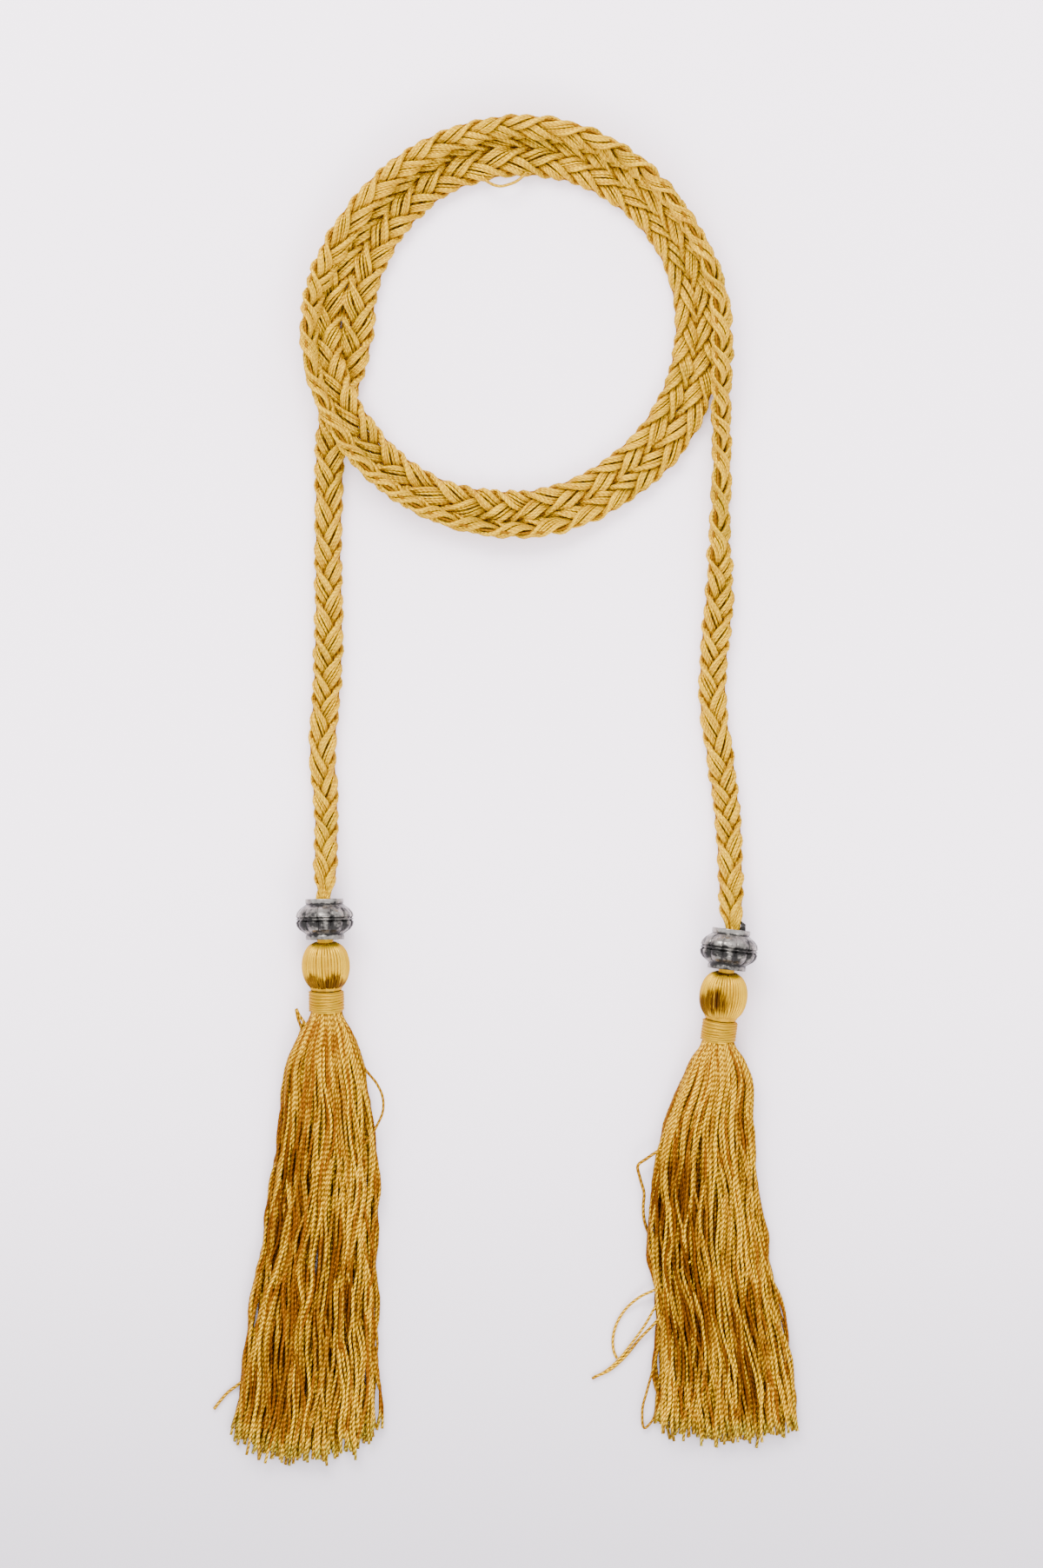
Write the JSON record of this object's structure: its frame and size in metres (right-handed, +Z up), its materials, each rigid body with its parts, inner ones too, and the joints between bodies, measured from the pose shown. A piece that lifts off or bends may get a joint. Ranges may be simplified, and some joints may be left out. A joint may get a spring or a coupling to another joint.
{
  "type": "braided tassel belt",
  "caption": "Flat braided yarn belt laid in a coil, with both ends side by side, each passing through a fluted metal bead into a tassel with a round head, wound neck and long fringe.",
  "frame": {"origin": "middle of the laid belt's outline seen from above, on the surface it lies on", "axes": "+Z up from the surface, +Y from the tassels towards the coil, +X towards the tassel on the right"},
  "size_m": [0.1608, 0.388, 0.0162],
  "materials": {
    "braid_yarn": "glossy twisted rayon yarn, gold",
    "tassel_yarn": "glossy twisted rayon yarn, old gold",
    "bead_metal": "antique silver casting, pitted, dark in its grooves"
  },
  "bodies": {
    "root": {"braid_strand_1": "braid_yarn", "braid_strand_2": "braid_yarn", "braid_strand_3": "braid_yarn", "bead_left": "bead_metal", "bead_right": "bead_metal", "tassel_head_left": "tassel_yarn", "tassel_head_right": "tassel_yarn", "neck_binding_left": "tassel_yarn", "neck_binding_right": "tassel_yarn", "skirt_left": "tassel_yarn", "skirt_right": "tassel_yarn"}
  },
  "joints": []
}
